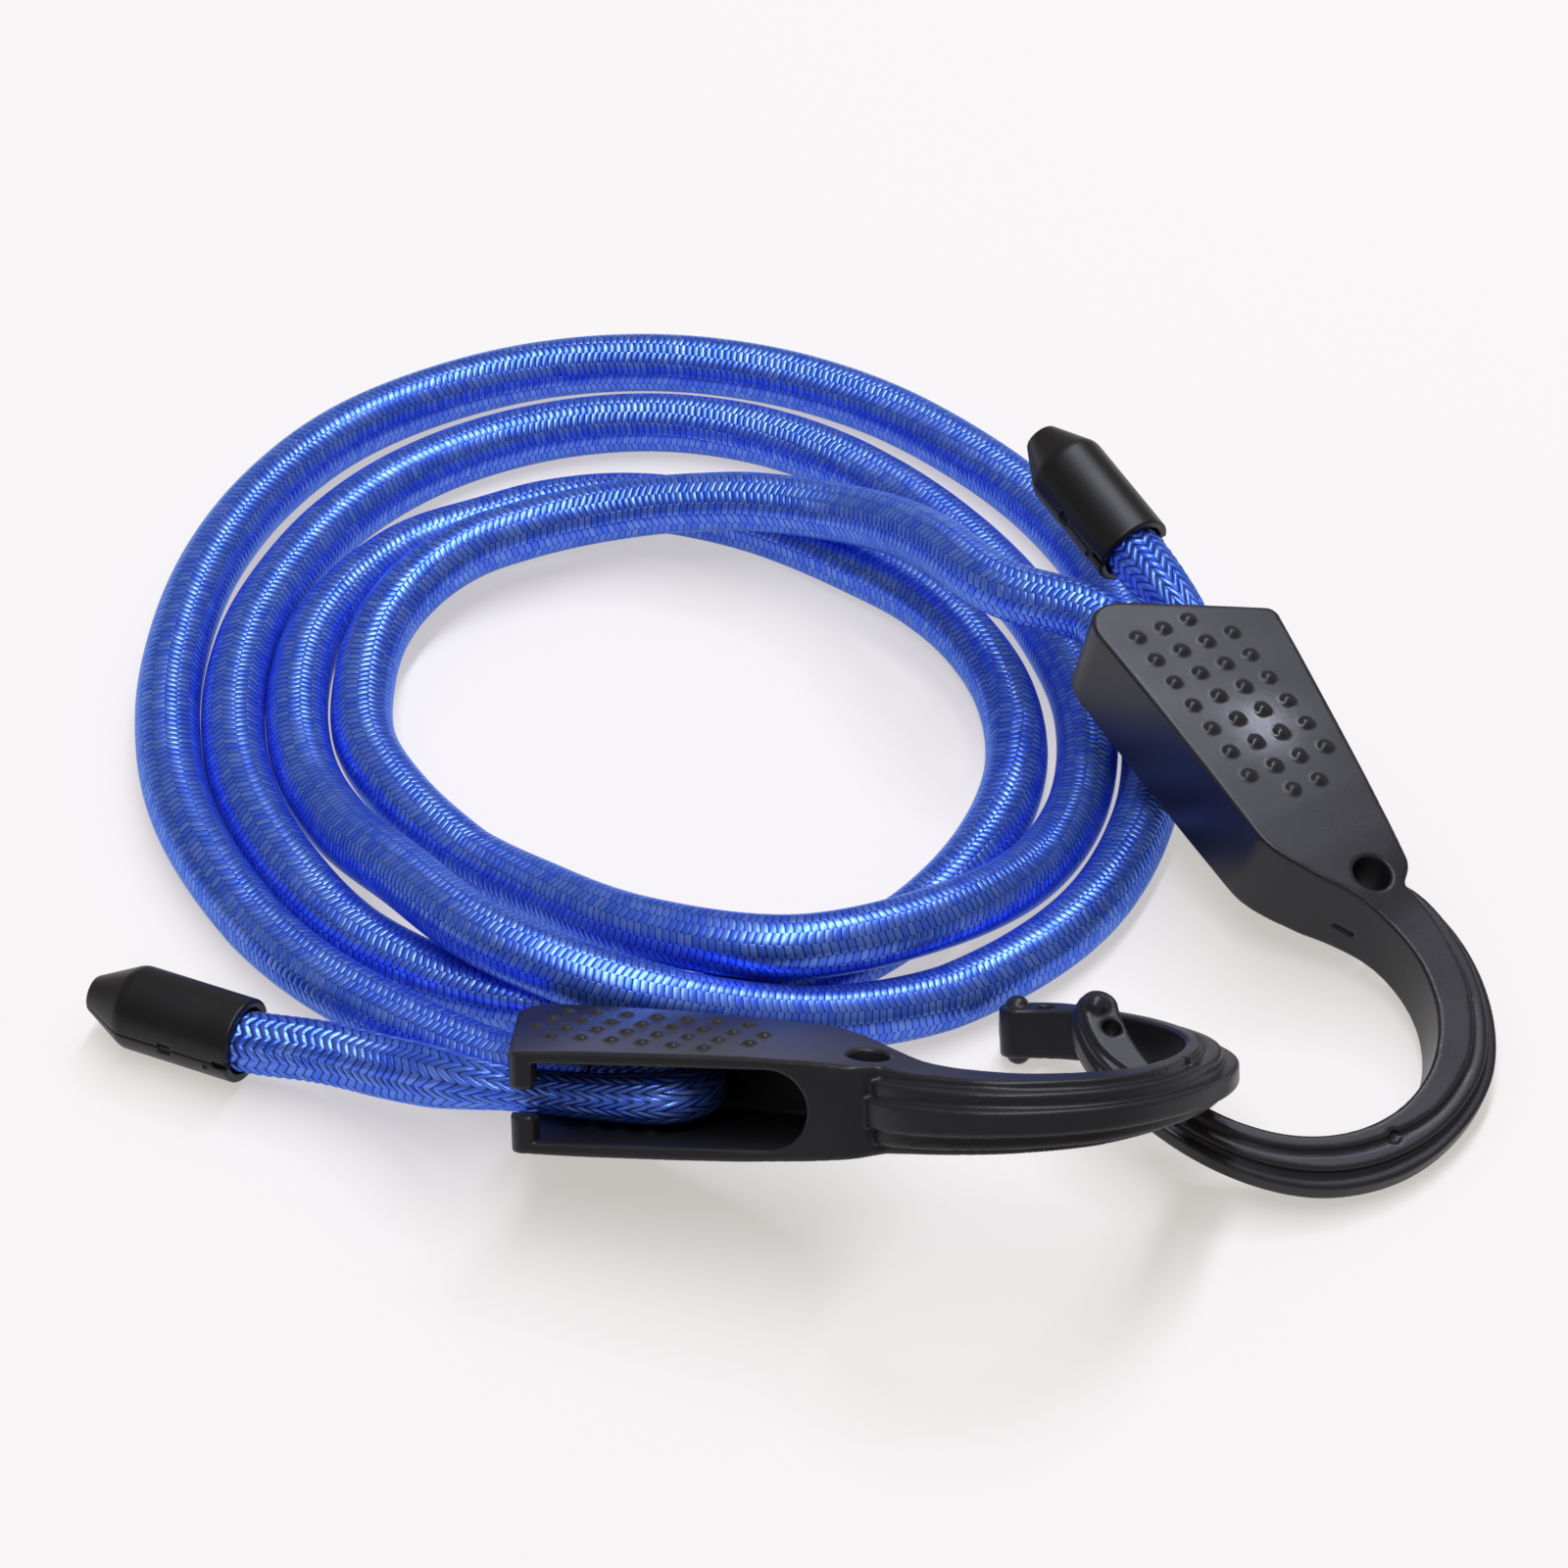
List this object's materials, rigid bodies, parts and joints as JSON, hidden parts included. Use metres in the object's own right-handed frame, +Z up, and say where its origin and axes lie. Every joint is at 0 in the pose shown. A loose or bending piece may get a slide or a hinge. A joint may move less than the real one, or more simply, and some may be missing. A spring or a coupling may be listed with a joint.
{
  "type": "adjustable bungee cord",
  "caption": "Adjustable elastic tie-down cord with braided sheath, moulded hooks and clip-together end caps, lying coiled.",
  "frame": {"origin": "on the floor under the middle of the two hooks' box", "axes": "+X to the right along the two linked hooks, +Y away across the coil, +Z up"},
  "size_m": [0.221, 0.2362, 0.0434],
  "materials": {
    "hook_plastic": "black glass-filled nylon with a soft satin skin",
    "cap_plastic": "black moulded plastic, satin",
    "sheath_yarn": "royal blue polyester braid, slightly silky",
    "core_rubber": "natural latex strands"
  },
  "bodies": {
    "cord": {"cord_coil_sheath": "sheath_yarn", "cord_coil_core": "core_rubber", "cord_tail_left_sheath": "sheath_yarn", "cord_tail_left_core": "core_rubber", "cord_tail_right_sheath": "sheath_yarn", "cord_tail_right_core": "core_rubber", "end_cap_left_base": "cap_plastic", "end_cap_left_lid": "cap_plastic", "end_cap_right_base": "cap_plastic", "end_cap_right_lid": "cap_plastic"},
    "hook_left": {"hook_left": "hook_plastic"},
    "hook_right": {"hook_right": "hook_plastic"}
  },
  "joints": [
    {"name": "hook_left_slide", "type": "slide", "parent": "cord", "child": "hook_left", "axis": [0.8901, -0.373, 0.262], "range_m": [0, 0.008]},
    {"name": "hook_right_slide", "type": "slide", "parent": "cord", "child": "hook_right", "axis": [0.5352, -0.8084, -0.2451], "range_m": [0, 0.008]}
  ]
}
